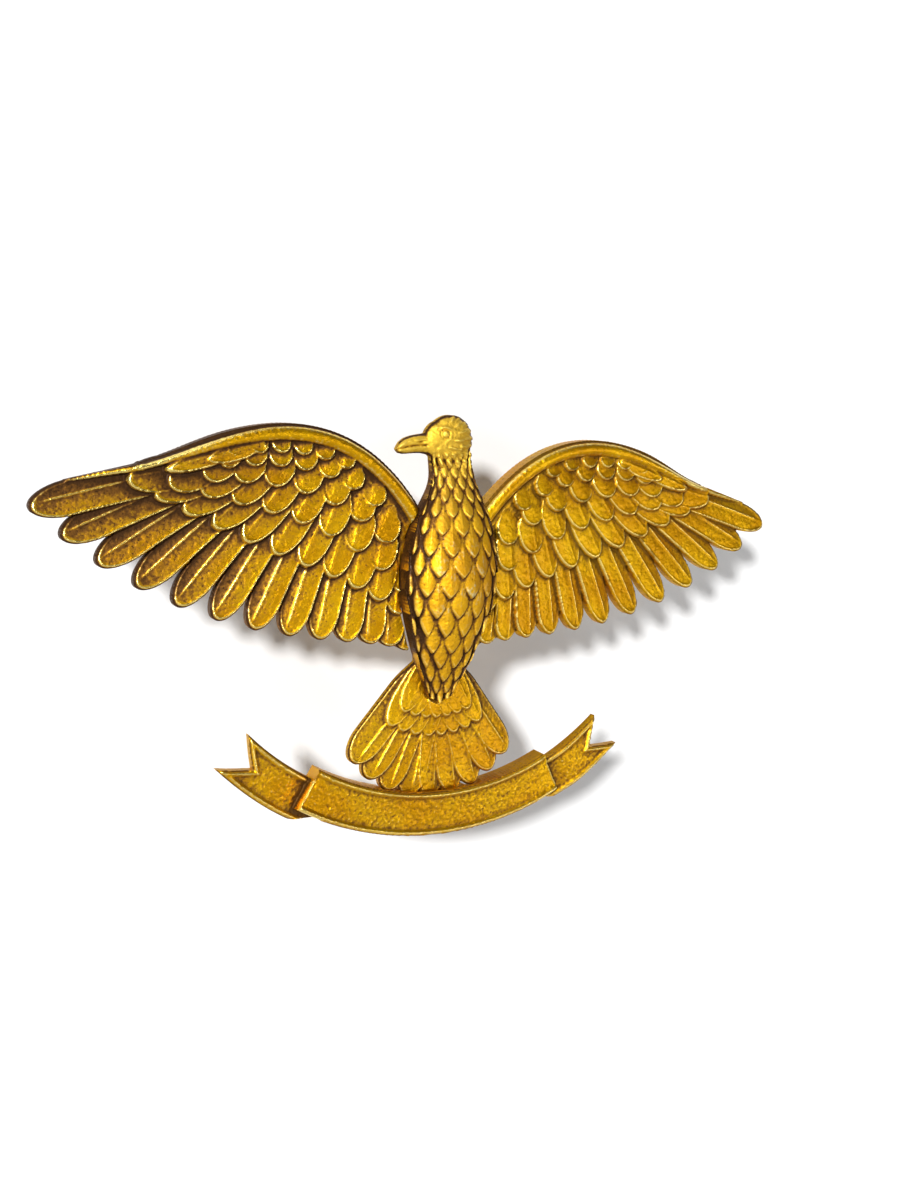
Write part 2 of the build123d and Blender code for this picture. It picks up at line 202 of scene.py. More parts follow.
class Relief:
    """Heights over the XZ plane, and how far inside the piece's outline each point is (negative outside)."""

    def __init__(self, low, high, step, seed):
        self.step = step
        self.xs = np.arange(low[0], high[0] + step, step)
        self.zs = np.arange(low[1], high[1] + step, step)
        self.x, self.z = np.meshgrid(self.xs, self.zs)
        self.height = np.full(self.x.shape, OUTSIDE)
        self.inside = np.full(self.x.shape, OUTSIDE)
        self.random = np.random.default_rng(seed)

    def near(self, points, pad):
        """The part of the grid around some points."""
        points = np.atleast_2d(points)
        low, high = points.min(0) - pad, points.max(0) + pad
        i0, i1 = np.searchsorted(self.xs, [low[0], high[0]])
        j0, j1 = np.searchsorted(self.zs, [low[1], high[1]])
        return slice(max(j0 - 1, 0), j1 + 1), slice(max(i0 - 1, 0), i1 + 1)

    def add(self, where, height, inside):
        """Adds a form: the surface is the highest of the forms at each point."""
        h, f = self.height[where], self.inside[where]
        h[...] = np.where(inside > 0, np.maximum(h, height), h)
        f[...] = np.maximum(f, inside)

    def cut(self, inside):
        """Takes away the region where this is positive."""
        self.inside = np.minimum(self.inside, -inside)

    def blurred(self, values, sigma):
        pad = int(4 * sigma / self.step) + 1
        v = np.pad(values, pad, mode="edge")
        fz = np.fft.fftfreq(v.shape[0], self.step)[:, None]
        fx = np.fft.rfftfreq(v.shape[1], self.step)[None, :]
        gain = np.exp(-2 * (pi * sigma) ** 2 * (fx**2 + fz**2))
        return np.fft.irfft2(np.fft.rfft2(v) * gain, s=v.shape)[pad:-pad, pad:-pad]

    def within(self, values, sigma):
        """values blurred, counting only what is inside the outline."""
        mask = (self.inside > 0).astype(float)
        return self.blurred(values * mask, sigma) / np.maximum(self.blurred(mask, sigma), 1e-4)

    def grain(self, sigma):
        """Smooth random values with a spread of 1."""
        g = self.blurred(self.random.standard_normal(self.x.shape), sigma)
        return g / g.std()

    def blob(self, centre, radius, height):
        """A round-topped disc."""
        where = self.near(centre, radius)
        d = np.hypot(self.x[where] - centre[0], self.z[where] - centre[1])
        self.add(where, height(np.clip(1 - (d / radius) ** 2, 0, 1)), radius - d)

    def feather(self, root, angle, length, half, tip, base, lift, tilt, camber, rim, drop,
                shaft=0.0, barb=0.0, sweep=0.0):
        """A feather that lies from its root along angle, higher on one side where it covers the next."""
        a = radians(angle)
        where = self.near([root, (root[0] + length * cos(a), root[1] + length * sin(a))], 1.7 * half)
        x, z = self.x[where] - root[0], self.z[where] - root[1]
        along = x * cos(a) + z * sin(a)
        u = along / length
        across = -x * sin(a) + z * cos(a) - sweep * length * np.clip(u, 0, 1.2) ** 2
        width = half * (ROOT_WIDTH + (1 - ROOT_WIDTH) * smooth(0, 0.35, u))
        q = np.abs(across) / width
        cap = np.clip((u - tip) / (1 - tip), 0, None)
        behind = np.clip(-along / (0.5 * half), 0, None)
        inside = (1 - np.sqrt(q**2 + cap**2 + behind**2)) * width
        height = base + lift * u - tilt * across / half + camber * (1 - np.clip(q, 0, 1) ** 2)
        quill = across - 0.2 * half
        thin = 0.05 + 0.07 * np.clip(1.1 - u, 0, 1)
        height += shaft * bump(quill, 0, thin) * smooth(1.0, 0.84, u)
        height += rim * bump(inside, RIM_IN, 0.6 * RIM_IN) - drop * (1 - smooth(0, RIM_IN, inside))
        if barb:
            stripe = np.cos(tau * (along + 0.9 * np.abs(quill)) / 0.4)
            height += barb * stripe * smooth(0.12, 0.3, inside) * smooth(0.06, 0.2, np.abs(quill))
        self.add(where, height, inside)


def extended(values, known):
    """values carried a few steps out past where they are known."""
    values, known = np.where(known, values, 0.0), known.copy()
    for _ in range(4):
        total, count = np.zeros_like(values), np.zeros_like(values)
        for axis in (0, 1):
            for way in (-1, 1):
                total += np.roll(np.where(known, values, 0), way, axis)
                count += np.roll(known, way, axis)
        fresh = ~known & (count > 0)
        values[fresh] = total[fresh] / count[fresh]
        known |= fresh
    return values


def crossings(relief, count):
    """Where the outline crosses the grid's lines: the point numbers for each line, from count, and their places."""
    f = relief.inside
    numbers, places = [], []
    for axis in (0, 1):
        a = f[:-1] if axis == 0 else f[:, :-1]
        b = f[1:] if axis == 0 else f[:, 1:]
        hit = (a > 0) != (b > 0)
        number = np.full(hit.shape, -1)
        number[hit] = np.arange(count, count + hit.sum())
        count += int(hit.sum())
        j, i = np.nonzero(hit)
        share = np.clip(a[hit] / (a[hit] - b[hit]), 0.12, 0.88)
        places.append(np.column_stack([j + share * (axis == 0), i + share * (axis == 1)]))
        numbers.append(number)
    return numbers, np.vstack(places), count


def sample(values, places):
    """values at fractional grid places."""
    j, i = places[:, 0], places[:, 1]
    j0 = np.clip(j.astype(int), 0, values.shape[0] - 2)
    i0 = np.clip(i.astype(int), 0, values.shape[1] - 2)
    fj, fi = j - j0, i - i0
    top = values[j0, i0] * (1 - fi) + values[j0, i0 + 1] * fi
    low = values[j0 + 1, i0] * (1 - fi) + values[j0 + 1, i0 + 1] * fi
    return top * (1 - fj) + low * fj


def smooth_mesh(name, points, faces, sharp):
    """A smooth-shaded mesh from points in millimetres, with its edges sharp beyond an angle in degrees."""
    mesh = bpy.data.meshes.new(name)
    mesh.from_pydata((points * MM).tolist(), [], faces)
    mesh.polygons.foreach_set("use_smooth", [True] * len(mesh.polygons))
    mesh.set_sharp_from_angle(angle=radians(sharp))
    return mesh


def placed(name, data):
    """An object in the scene, from its mesh, light or camera."""
    made = bpy.data.objects.new(name, data)
    bpy.context.scene.collection.objects.link(made)
    return made


# how far round a point its hollows, ridges and low ground are judged, and the depth that counts as 1
CAVITY_REACH, CAVITY_DEPTH = 0.22, 0.10
CREST_REACH, CREST_DEPTH = 0.10, 0.035
POOL_REACH, POOL_DEPTH = 0.9, 0.30
POOL_ON_WALLS = 0.10
MASK_LIMIT = 1.5


def struck(name, relief, level, way=-1, hollow=None, soften=0.035, grain=0.008, mirror=False, seam_darkening=0.0):
    """A closed mesh from a relief, which rises from level towards way along Y.

    hollow gives how far the other face is sunk at each point. The hollows, ridges and low ground are stored
    for the patina, its painted shade and the ridges' painted highlight; the side walls get patina and painted shade.
    """
    mask = relief.inside > 0
    height = relief.within(extended(relief.height, mask), soften)
    height += grain * relief.grain(0.07) + 0.6 * grain * relief.grain(0.16)
    height = extended(height, mask)
    # The hollows and low ground carry the patina and its painted shade; the ridges carry a painted highlight.
    cavity = (relief.within(height, CAVITY_REACH) - height) / CAVITY_DEPTH
    crest = (height - relief.within(height, CREST_REACH)) / CREST_DEPTH
    pool = (relief.within(height, POOL_REACH) - height) / POOL_DEPTH
    sunk = np.zeros_like(height) if hollow is None else hollow(relief, height)

    n = np.full(mask.shape, -1)
    n[mask] = np.arange(mask.sum())
    (up, across), rim_places, total = crossings(relief, int(mask.sum()))
    jj, ii = np.nonzero(mask)
    places = np.vstack([np.column_stack([jj, ii]).astype(float), rim_places])

    whole = mask[:-1, :-1] & mask[1:, :-1] & mask[:-1, 1:] & mask[1:, 1:]
    faces = np.column_stack([n[:-1, :-1][whole], n[:-1, 1:][whole], n[1:, 1:][whole], n[1:, :-1][whole]]).tolist()
    some = mask[:-1, :-1] | mask[1:, :-1] | mask[:-1, 1:] | mask[1:, 1:]
    walls = []
    for j, i in zip(*np.nonzero(some & ~whole)):
        corners = [(n[j, i], across[j, i]), (n[j, i + 1], up[j, i + 1]),
                   (n[j + 1, i + 1], across[j + 1, i]), (n[j + 1, i], up[j, i])]
        ring = []
        for corner, line in corners:
            if corner >= 0:
                ring.append((int(corner), False))
            if line >= 0:
                ring.append((int(line), True))
        faces.append([number for number, _ in ring])
        for (a, on_a), (b, on_b) in zip(ring, ring[1:] + ring[:1]):
            if on_a and on_b:
                walls.append((a, b))

    x = relief.xs[0] + relief.step * places[:, 1]
    z = relief.zs[0] + relief.step * places[:, 0]
    front = level + way * sample(height, places)
    back = level + way * sample(sunk, places)
    points = np.vstack([np.column_stack([x, front, z]), np.column_stack([x, back, z])])
    faces = faces + [[total + k for k in reversed(face)] for face in faces]
    faces += [[b, a, total + a, total + b] for a, b in walls]
    if mirror:
        points[:, 0] *= -1
    if mirror != (way > 0):
        faces = [face[::-1] for face in faces]

    mesh = smooth_mesh(name, points, faces, sharp=62)
    on_rim = np.arange(total) >= mask.sum()
    # The side walls and the back get a set amount of patina and painted shade.
    for key, values, rest in (("cavity", cavity, seam_darkening), ("crest", crest, 0.0), ("pool", pool, POOL_ON_WALLS)):
        shown = np.clip(sample(values, places), -MASK_LIMIT, MASK_LIMIT)
        shown = np.where(on_rim, np.minimum(shown, rest + 0.1), shown)
        layer = mesh.attributes.new(key, "FLOAT", "POINT")
        layer.data.foreach_set("value", np.concatenate([shown, np.full(total, rest)]).astype(np.float32))
    return placed(name, mesh)


def body_width(z):
    """The body's radius at a height: a smooth curve through BODY_PROFILE."""
    r, zs = np.array(BODY_PROFILE).T
    slope = np.gradient(r, zs)
    k = np.clip(np.searchsorted(zs, z) - 1, 0, len(zs) - 2)
    gap = zs[k + 1] - zs[k]
    t = np.clip((z - zs[k]) / gap, 0, 1)
    low = (1 + 2 * t) * (1 - t) ** 2 * r[k] + t * (1 - t) ** 2 * gap * slope[k]
    high = t * t * (3 - 2 * t) * r[k + 1] + t * t * (t - 1) * gap * slope[k + 1]
    return low + high


def body_inside(x, z, grow):
    """How far inside the body's outline a point is, with the outline grown by a clearance."""
    lowest, highest = BODY_PROFILE[0][1], BODY_PROFILE[-1][1]
    sides = body_width(z) + grow - np.abs(x)
    under = z - (lowest - BODY_VENT - grow) - 0.5 * np.abs(x)
    return np.minimum(np.minimum(sides, under), highest + grow - z)


def hollow_back(wall, margin):
    """A struck piece's hollow reverse, which follows its front, softened, and leaves a flat rim."""
    def hollow(relief, height):
        soft = relief.within(height, 0.35)
        from_rim = relief.blurred((relief.inside > 0).astype(float), margin / 2)
        return np.clip(soft - wall, 0, None) * smooth(0.72, 0.99, from_rim)
    return hollow


# ---- wings

def level(height):
    """A blob's shape when its top is flat."""
    return lambda round_top: height + 0 * round_top


def domed(height, drop):
    """A blob's shape when it falls by drop from its middle to its rim."""
    return lambda round_top: height - drop + drop * np.sqrt(round_top)


def wing_ground(relief):
    """The skin under the feathers, from the arm to the leading edge, thinner towards the wing's tip."""
    for t in np.linspace(0, 1, 70):
        arm, edge = on_bezier(WING_ARM, t), on_bezier(WING_EDGE, t)
        for share in np.linspace(0, 1, 10):
            height = (SKIN_ROOT + SKIN_RISE * share) * (1 - SKIN_TIP_LOSS * smooth(0.62, 1, t))
            relief.blob(arm + share * (edge - arm), 0.75 - 0.35 * smooth(0.7, 1, t), level(height))


def wing_feathers(relief):
    for i in range(FLIGHT_COUNT):
        t = i / (FLIGHT_COUNT - 1)
        length = FLIGHT_SHORTEST + FLIGHT_EXTRA * sin(FLIGHT_SWELL * t)
        relief.feather(on_bezier(WING_ARM, t), wing_angle(t), length, FLIGHT_HALF, tip=0.76, base=0.60,
                       lift=0.22, tilt=0.26, camber=0.10, shaft=0.12, rim=0.08, barb=0.006, drop=0.20, sweep=-0.018)
    for row, (share, count, shortest, extra, half, base, first, end) in enumerate(COVERTS):
        for i in range(first, end):
            t = (i + COVERT_LEAD) / (count - COVERT_LEAD)
            arm, edge = on_bezier(WING_ARM, t), on_bezier(WING_EDGE, t)
            length = shortest + extra * sin(COVERT_SWELL * t)
            relief.feather(arm + share * (edge - arm), wing_angle(t) + COVERT_TURN, length, half,
                           tip=0.5, base=base, lift=0.27, tilt=0.20, camber=0.13, drop=0.21,
                           shaft=0.05 if row < COVERT_ROWS_WITH_SHAFTS else 0.0, rim=0.08)
    for order, (t, length) in enumerate(ALULA):
        place, ahead = on_bezier(WING_EDGE, t), on_bezier(WING_EDGE, t + 0.1)
        way = degrees(atan2(ahead[1] - place[1], ahead[0] - place[0]))
        relief.feather(place + (0.0, -ALULA_BELOW_EDGE), way - 3.5 * order, length, 0.72, tip=0.45,
                       base=1.38 + 0.06 * order, lift=0.10, tilt=0.12, camber=0.12, shaft=0.06, rim=0.07, drop=0.17)


def wing_edge_bead(relief):
    """The rounded front edge, which runs on along the front of the outermost feather."""
    for t in np.linspace(0, 1, 260):
        radius = EDGE_HALF * (1.15 - 0.60 * smooth(0.55, 1, t))
        height = BEAD_HEIGHT - 0.14 * smooth(0.5, 0.9, t) - 0.30 * smooth(0.80, 1, t)
        relief.blob(on_bezier(WING_EDGE, t), radius, domed(height, BEAD_DROP))
    turn = radians(wing_angle(1))
    root = np.array(on_bezier(WING_ARM, 1)) + 0.86 * FLIGHT_HALF * np.array((-sin(turn), cos(turn)))
    start, finish = np.array(on_bezier(WING_EDGE, 1)), root + FINGER_BEAD_LENGTH * np.array((cos(turn), sin(turn)))
    for share in np.linspace(0, 1, 110):
        relief.blob(start + share * (finish - start), FINGER_BEAD_HALF - FINGER_BEAD_THINNER * share,
                    domed(FINGER_BEAD_HEIGHT - FINGER_BEAD_FALL * share, FINGER_BEAD_DROP))


def wing_relief():
    relief = Relief((-0.3, -11.0), (34.2, 11.6), 0.09, seed=11)
    wing_ground(relief)
    wing_feathers(relief)
    wing_edge_bead(relief)
    relief.cut(body_inside(relief.x, relief.z, BODY_CLEARANCE))
    tongue = np.minimum(np.minimum(relief.x - WING_SEAM, WING_SEAM + TONGUE_WIDE - relief.x),
                        TONGUE_TALL / 2 - np.abs(relief.z - TONGUE_Z))
    under_body = (tongue > 0) & (relief.inside <= 0)
    relief.height = np.where(under_body, TOP_OF_TONGUE, relief.height)
    relief.inside = np.maximum(relief.inside, tongue)
    return relief


# ---- tail

def tail_feathers():
    for share in np.linspace(-1, 1, TAIL_COUNT):
        yield share, (TAIL_ROOT_SPREAD * share, TAIL_ROOT_Z), -90 + TAIL_SPREAD * share


def tail_relief():
    relief = Relief((-9.6, -22.0), (9.6, -6.8), 0.075, seed=12)
    for share, root, angle in tail_feathers():
        relief.feather(root, angle, TAIL_LENGTH - TAIL_SIDE_SHORTER * share**2, TAIL_HALF, tip=0.78,
                       base=0.74 - 0.20 * abs(share), lift=0.08, tilt=0.18 * np.sign(share + 1e-6),
                       camber=0.10, shaft=0.12, rim=0.08, barb=0.006, drop=0.20)
    for count, spread, length, half, base in TAIL_COVERTS:
        for share in np.linspace(-1, 1, count):
            relief.feather((0.6 * share, TAIL_ROOT_Z), -90 + spread * share, length, half, tip=0.55,
                           base=base - 0.12 * abs(share), lift=0.24, tilt=0.12 * np.sign(share + 1e-6),
                           camber=0.12, rim=0.07, shaft=0.05, drop=0.20)
    x, z = relief.x, relief.z
    tongue = np.minimum(TAIL_TONGUE_HALF - np.abs(x), TAIL_TONGUE_TALL / 2 - np.abs(z - TAIL_ROOT_Z))
    relief.add(EVERYWHERE, 0 * x + TOP_OF_TONGUE, tongue)
    beneath = body_inside(x, z, BODY_CLEARANCE) > 0
    relief.height = np.where(beneath, np.minimum(relief.height, TOP_OF_TONGUE), relief.height)
    relief.height = np.minimum(relief.height, TAIL_HEIGHT - 0.01)
    return relief


def tail_inside(x, z, grow):
    """How far inside the tail's outline a point is, with each feather grown by a clearance."""
    best = np.full(x.shape, OUTSIDE)
    for share, root, angle in tail_feathers():
        a = radians(angle)
        length, half = TAIL_LENGTH - TAIL_SIDE_SHORTER * share**2 + grow, TAIL_HALF + grow
        along = (x - root[0]) * cos(a) + (z - root[1]) * sin(a)
        across = np.abs(-(x - root[0]) * sin(a) + (z - root[1]) * cos(a))
        cap = np.clip((along / length - 0.78) / 0.22, 0, None)
        best = np.maximum(best, (1 - np.sqrt((across / half) ** 2 + cap**2)) * half * (along > 0))
    return best


# ---- body

def body_relief():
    relief = Relief((-5.9, -13.6), (4.9, 11.5), 0.06, seed=13)
    x, z = relief.x, relief.z
    radius = body_width(z)
    half = radius - 0.04
    above = radius - BODY_DOME_CUT
    tall = 0.5 * (above + np.sqrt(above**2 + BODY_DOME_EASE))
    sway = -0.45 * smooth(4.5, 8.0, z)
    s = (x - sway) / half
    dome = BODY_RIM + (tall - BODY_RIM) * np.clip(1 - s**2, 0, 1) ** BODY_DOME_POWER
    lowest = BODY_PROFILE[0][1] - BODY_VENT + 0.05
    inside = np.minimum((1 - np.abs(s)) * half, z - lowest - 0.5 * np.abs(x))
    inside = np.minimum(inside, HEAD_CENTRE[1] - z)
    ground = dome - 0.2 * (1 - smooth(0, 0.16, inside))
    relief.add(EVERYWHERE, ground - 0.10, inside)

    slope_z, slope_x = np.gradient(dome, relief.step)
    steep = np.clip(np.sqrt(1 + slope_x**2 + slope_z**2), 1, 2.4)
    turned_by = np.arcsin(np.clip(s, -1, 1))
    places, sizes = zip(*SCALE_SIZES)
    top, row = SCALES_TOP, 0
    while top > SCALES_END:
        size = float(np.interp(top, places, sizes))
        w = float(body_width(top - size))
        count = max(4, round(SCALE_ARC * w / (SCALE_SPACING * size)))
        for i in range(-count, count + 1):
            turn = (i + 0.5 * (row % 2)) * SCALE_ARC / count
            if abs(turn) < SCALE_ARC_LIMIT:
                scale_feather(relief, dome, w * turned_by, (w * turn, top), -90, SCALE_LENGTH * size,
                              SCALE_WIDTH * w / count, (0.62 + 0.45 * size) * steep)
        top -= SCALE_ROW_STEP * size
        row += 1

    head(relief)
    return relief


def scale_feather(relief, ground, across, root, angle, length, half, strength):
    """A small pointed feather on a rounded ground; across is the distance round that ground from its middle."""
    a = radians(angle)
    where = (np.abs(across - root[0]) < length + half) & (np.abs(relief.z - root[1]) < length + half)
    x, z = across[where] - root[0], relief.z[where] - root[1]
    u = (x * cos(a) + z * sin(a)) / length
    aside = np.abs(-x * sin(a) + z * cos(a))
    taper = 1 - np.clip((u - 0.42) / 0.58, 0, 1) ** 2.2
    width = half * (0.6 + 0.4 * smooth(0, 0.38, u)) * np.maximum(taper, 1e-3)
    inside = np.where((u > -0.2) & (u < 1), 0.86 * (width - aside), OUTSIDE)
    rise = 0.30 * np.clip(u, 0, 1) + 0.26 * np.clip(1 - (aside / half) ** 2, 0, 1)
    rise -= 0.30 * (1 - smooth(0, 0.18, inside))
    rise += 0.025 * bump(aside, 0, 0.06) * smooth(0.8, 0.4, u) * smooth(0, 0.2, u)
    h = relief.height[where]
    strength = np.broadcast_to(strength, ground.shape)[where]
    surface = ground[where] + strength * (rise - 0.08)
    relief.height[where] = np.where((inside > 0) & (relief.inside[where] > 0), np.maximum(h, surface), h)


def blend_up(a, b, soft):
    """The higher of two surfaces, with the valley between them filled."""
    k = np.clip(0.5 + 0.5 * (a - b) / soft, 0, 1)
    return a * k + b * (1 - k) + soft * k * (1 - k)


def head(relief):
    """A gull-like head in profile, facing the viewer's left."""
    x, z = relief.x, relief.z
    hx, hz = HEAD_CENTRE
    skull_in, skull = np.full(x.shape, OUTSIDE), np.zeros_like(x)
    for dx, dz, reach_x, reach_z, tall in ((0.12, -0.02, 2.0, 1.98, 1.02), (-0.72, -0.12, 1.52, 1.62, 0.92)):
        r = np.sqrt(((x - hx - dx) / reach_x) ** 2 + ((z - hz - dz) / reach_z) ** 2)
        skull_in = np.maximum(skull_in, (1 - r) * reach_z)
        skull = blend_up(skull, 0.30 + tall * np.sqrt(np.clip(1 - r**2, 0, 1)), 0.12)

    # the bill: s runs from 0 at its base to 1 at its tip, and v from -1 below to 1 above
    start = hx - 1.35
    s = (start - x) / (start - BILL_TIP)
    middle = 8.42 - 0.18 * s - 0.42 * np.clip(s, 0, 1.3) ** 3
    tall = np.interp(s, [-0.4, 0, 0.3, 0.62, 0.8, 0.92, 1.0], [1.2, 1.0, 0.78, 0.70, 0.62, 0.42, 0.05])
    v = (z - middle) / tall
    bill_in = np.minimum((1 - np.abs(v)) * tall, (1 - s) * 1.2)
    bill_in = np.where(s < -0.3, OUTSIDE, bill_in)
    bill = 0.22 + (0.62 - 0.22 * np.clip(s, 0, 1)) * np.sqrt(np.clip(1 - v**2, 0, 1))
    mouth = -0.22 + 0.10 * np.sin(3.0 * s)
    bill -= 0.20 * bump(v, mouth, 0.11) * smooth(1.0, 0.93, s)
    bill += 0.05 * bump(v, 0.45, 0.2) * smooth(0, 0.3, s)
    bill -= 0.22 * bump(s, 0.36, 0.10) * bump(v, 0.20, 0.13)
    bill += 0.07 * bump(s, 0.70, 0.12) * bump(v, -0.75, 0.35)

    surface = np.where(relief.inside > 0, relief.height, 0.0)
    surface = blend_up(surface, np.where(skull_in > -0.3, skull - 0.05, 0), 0.22)
    relief.height, relief.inside = surface, np.maximum(relief.inside, skull_in)
    # small feathers in rings about the face, none on the bill's base or the eye
    ex, ez = hx - 0.62, hz + 0.42
    for ring in range(6):
        out = 1.25 + 0.50 * ring
        for turn in np.arange(-84, 60, 30 / out) + 6 * (ring % 2):
            a = radians(turn)
            root = (hx - 1.65 + out * cos(a), hz - 0.35 + out * sin(a))
            if np.hypot(root[0] - hx, root[1] - hz) < 1.80 and np.hypot(root[0] - ex, root[1] - ez) > 0.85:
                scale_feather(relief, surface, x, root, turn, 0.95, 0.27, 0.34)
    surface = relief.height
    cere = smooth(-0.12, 0.10, s)
    surface = np.where(bill_in > 0, np.where(skull_in > 0, blend_up(surface, bill * cere, 0.10), bill), surface)

    # the eye in its socket, then the brow, the cheek and the corner of the mouth
    d = np.hypot(x - ex, z - ez)
    surface -= 0.16 * bump(d, 0.0, 0.60)
    surface += 0.05 * bump(d, 0.52, 0.10)
    surface += 0.30 * np.sqrt(np.clip(1 - (d / 0.34) ** 2, 0, 1))
    brow = z - (ez + 0.50 - 0.10 * (x - ex) - 0.14 * (x - ex) ** 2)
    surface += 0.15 * bump(brow, 0, 0.13) * bump(x, ex + 0.05, 0.70)
    cheek = np.hypot(x - (ex + 0.75), (z - (ez - 0.95)) * 1.25)
    surface += 0.08 * bump(cheek, 0.75, 0.16) * smooth(-0.4, 0.4, x - ex)
    gape = np.hypot(x - (start + 0.10), z - 8.15)
    surface -= 0.10 * bump(gape, 0, 0.22)

    inside = np.maximum(skull_in, bill_in)
    total = np.maximum(relief.inside, inside)
    rim = 0.20 * (1 - smooth(0, 0.12, total))
    shown = np.where(total > 0, surface - np.where(relief.inside < inside, rim, 0), OUTSIDE)
    relief.height, relief.inside = shown, total


# ---- scroll

def polar(relief):
    """Each point's radius and angle from straight down, about the scroll's centre."""
    drop = SCROLL_CENTRE_Z - relief.z
    return np.hypot(relief.x, drop), np.degrees(np.arctan2(relief.x, drop))


def scroll_relief():
    relief = Relief((-19.4, -24.8), (19.4, -14.6), 0.08, seed=14)
    radius, angle = polar(relief)
    per_degree = radians(1) * SCROLL_RADIUS
    stipple = relief.grain(0.055)

    # the two ribbon ends, folded behind the front and notched
    across = radius - SCROLL_RADIUS - RIBBON_DROP
    side = np.abs(angle)
    along = (side - (SCROLL_ANGLE - RIBBON_OVERLAP)) * per_degree
    end = (RIBBON_ANGLE - side) * per_degree
    notch = end - RIBBON_NOTCH * (1 - np.abs(across) / SCROLL_HALF)
    fold = along - (across + RIBBON_DROP - SCROLL_HALF) * RIBBON_OVERLAP * per_degree / RIBBON_DROP
    inside = np.minimum(np.minimum(SCROLL_HALF - np.abs(across), notch * 0.72), np.minimum(along, 0.43 * fold))
    wave = RIBBON_THICK - 0.20 + 0.16 * np.cos(0.62 * (along - 3.6)) - 0.16 * smooth(4.6, 2.0, along)
    height = wave + panel(SCROLL_HALF - np.abs(across), notch * 0.72, stipple)
    relief.add(EVERYWHERE, height, inside)

    # the front
    across = radius - SCROLL_RADIUS
    end = (SCROLL_ANGLE - side) * per_degree
    inside = np.minimum(SCROLL_HALF - np.abs(across), end)
    height = SCROLL_THICK - 0.14 - 0.22 * smooth(2.4, 0.0, end) ** 2 + 0.10 * bump(end, 0.5, 0.45)
    height += panel(SCROLL_HALF - np.abs(across), end + 0.35, stipple)
    relief.add(EVERYWHERE, height, inside)
    return relief


def panel(from_side, from_end, stipple):
    """A raised rim round a sunk, stippled ground."""
    rim = np.minimum(from_side, from_end)
    ground = smooth(0.42, 0.58, rim)
    edge = 0.17 * (1 - smooth(0, 0.13, rim))
    return 0.13 * bump(rim, 0.27, 0.16) - 0.10 * ground + 0.020 * ground * stipple - edge


def scroll_back(relief, height):
    """The scroll's reverse: hollow behind its face, and cut away where the tail's tips lie."""
    hollow = hollow_back(0.85, 1.1)(relief, height)
    pocket = tail_inside(relief.x, relief.z, TAIL_POCKET_CLEARANCE) > 0
    flat = (np.abs(relief.x) < SCROLL_FLAT_HALF) | (relief.inside < 0.1)
    hollow = np.where(flat, 0, hollow)
    return np.where(pocket, TAIL_HEIGHT + TAIL_POCKET_CLEARANCE, hollow)


# ---- carrier plate

def carrier_relief():
    relief = Relief((-18.2, -24.2), (18.2, 4.2), 0.12, seed=15)
    x, z = relief.x, relief.z
    post = POST_SPACING / 2
    bar = CARRIER_HALF - np.hypot(np.clip(np.abs(x) - post, 0, None), z)
    lugs = CARRIER_LUG - np.hypot(np.abs(x) - post, z)
    leg = np.minimum(CARRIER_LEG_HALF - np.abs(x), np.minimum(0.5 - z, z + SCROLL_RADIUS - SCROLL_CENTRE_Z))
    radius, angle = polar(relief)
    foot = np.minimum(FOOT_HALF - np.abs(radius - SCROLL_RADIUS),
                      (FOOT_ANGLE - np.abs(angle)) * radians(1) * SCROLL_RADIUS)
    inside = np.maximum(np.maximum(bar, lugs), np.maximum(leg, foot))
    edge = 0.10 * (1 - smooth(0, 0.16, inside))
    relief.add(EVERYWHERE, CARRIER_THICK - edge, inside)
    return relief


# ---- turned pieces

def lathe(profile, x, z, segments, swell=None, closed=False):
    """A piece turned about an axis along Y. profile is (radius, y) from one end to the other."""
    turns = np.linspace(0, tau, segments, endpoint=False)
    rings = []
    for k, (radius, y) in enumerate(profile):
        r = np.full(segments, radius) if swell is None else swell(k, radius, y, turns)
        rings.append(np.column_stack([x + r * np.cos(turns), np.full(segments, y), z + r * np.sin(turns)]))
    points = np.vstack(rings)
    faces = []
    count = len(profile)
    for k in range(count if closed else count - 1):
        a, b = k * segments, (k + 1) % count * segments
        for i in range(segments):
            j = (i + 1) % segments
            faces.append([a + i, b + i, b + j, a + j])
    if not closed:
        faces.append(list(range(segments)))
        faces.append([(count - 1) * segments + i for i in reversed(range(segments))])
    return points, faces


def rounded(corners, radii, steps=4):
    """A turned profile with its corners rounded, each by its own radius; the ends have none."""
    corners = [np.array(c, float) for c in corners]
    out = []
    for k, (corner, r) in enumerate(zip(corners, radii)):
        if r == 0:
            out.append(tuple(corner))
            continue
        before, after = corners[k - 1] - corner, corners[k + 1] - corner
        a, b = before / np.linalg.norm(before), after / np.linalg.norm(after)
        out += [tuple(corner + r * ((1 - s) ** 2 * a + s**2 * b)) for s in np.linspace(0, 1, steps + 1)]
    return out


def turned(name, groups, sharp=38):
    """One mesh from several turned solids."""
    points, faces = [], []
    for p, f in groups:
        start = sum(len(q) for q in points)
        points.append(p)
        faces += [[start + i for i in face] for face in f]
    return placed(name, smooth_mesh(name, np.vstack(points), faces, sharp))


def thread_cut(y, turns, depth):
    """How deep a screw thread is cut: a rounded V that climbs one pitch each turn."""
    phase = (y / THREAD_PITCH - turns / tau) % 1.0
    return depth * np.clip(1.25 * np.abs(2 * phase - 1) - 0.08, 0, 1)


